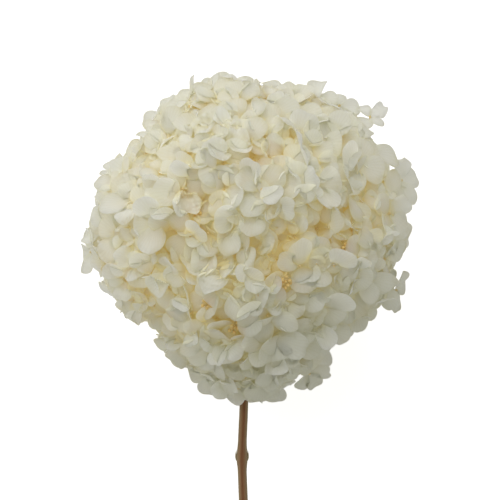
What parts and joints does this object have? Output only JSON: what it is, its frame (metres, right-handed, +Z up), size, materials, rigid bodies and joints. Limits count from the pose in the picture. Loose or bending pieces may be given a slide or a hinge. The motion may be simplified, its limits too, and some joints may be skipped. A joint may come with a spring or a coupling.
{
  "type": "cut hydrangea",
  "caption": "Cut mop-head hydrangea lying down: a dense ball of cream four-sepalled florets in branched clusters on a straight woody stem.",
  "frame": {"origin": "on the table, under the middle of the bounding box of the whole flower", "axes": "+Z up from the table, +Y along the flower from the cut end of the stem towards the crown of the head, +X to the right of the head as it is seen from above with the stem towards the viewer"},
  "size_m": [0.1824, 0.3574, 0.1802],
  "materials": {
    "florets": "matte, papery, slightly translucent cream petals",
    "stalks": "matte pale straw-green stalks",
    "bark": "matte fibrous brown bark"
  },
  "bodies": {
    "root": {"back_left_branch": "stalks", "back_left_cluster_1": "florets", "back_left_cluster_2": "florets", "back_low_branch": "stalks", "back_low_cluster_1": "florets", "back_low_cluster_2": "florets", "back_middle_branch": "stalks", "back_middle_cluster_1": "florets", "back_middle_cluster_2": "florets", "back_right_branch": "stalks", "back_right_cluster_1": "florets", "back_right_cluster_2": "florets", "back_top_branch": "stalks", "back_top_cluster_1": "florets", "back_top_cluster_2": "florets", "base_left_branch": "stalks", "base_left_cluster_1": "florets", "base_right_branch": "stalks", "base_right_cluster_1": "florets", "base_right_cluster_2": "florets", "crown_front_branch": "stalks", "crown_front_cluster_1": "florets", "crown_front_cluster_2": "florets", "crown_front_cluster_3": "florets", "crown_front_cluster_4": "florets", "crown_top_branch": "stalks", "crown_top_cluster_1": "florets", "crown_top_cluster_2": "florets", "crown_top_cluster_3": "florets", "front_left_branch": "stalks", "front_left_cluster_1": "florets", "front_left_cluster_2": "florets", "front_low_branch": "stalks", "front_low_cluster_1": "florets", "front_low_cluster_2": "florets", "front_low_cluster_3": "florets", "front_right_branch": "stalks", "front_right_cluster_1": "florets", "front_right_cluster_2": "florets", "hip_left_branch": "stalks", "hip_left_cluster_1": "florets", "hip_left_cluster_2": "florets", "hip_right_branch": "stalks", "hip_right_cluster_1": "florets", "hip_right_cluster_2": "florets", "shoulder_left_branch": "stalks", "shoulder_left_cluster_1": "florets", "shoulder_left_cluster_2": "florets", "shoulder_right_branch": "stalks", "shoulder_right_cluster_1": "florets", "shoulder_right_cluster_2": "florets", "side_left_branch": "stalks", "side_left_cluster_1": "florets", "side_left_cluster_2": "florets", "side_left_cluster_3": "florets", "side_right_branch": "stalks", "side_right_cluster_1": "florets", "side_right_cluster_2": "florets", "stem": "bark"}
  },
  "joints": []
}
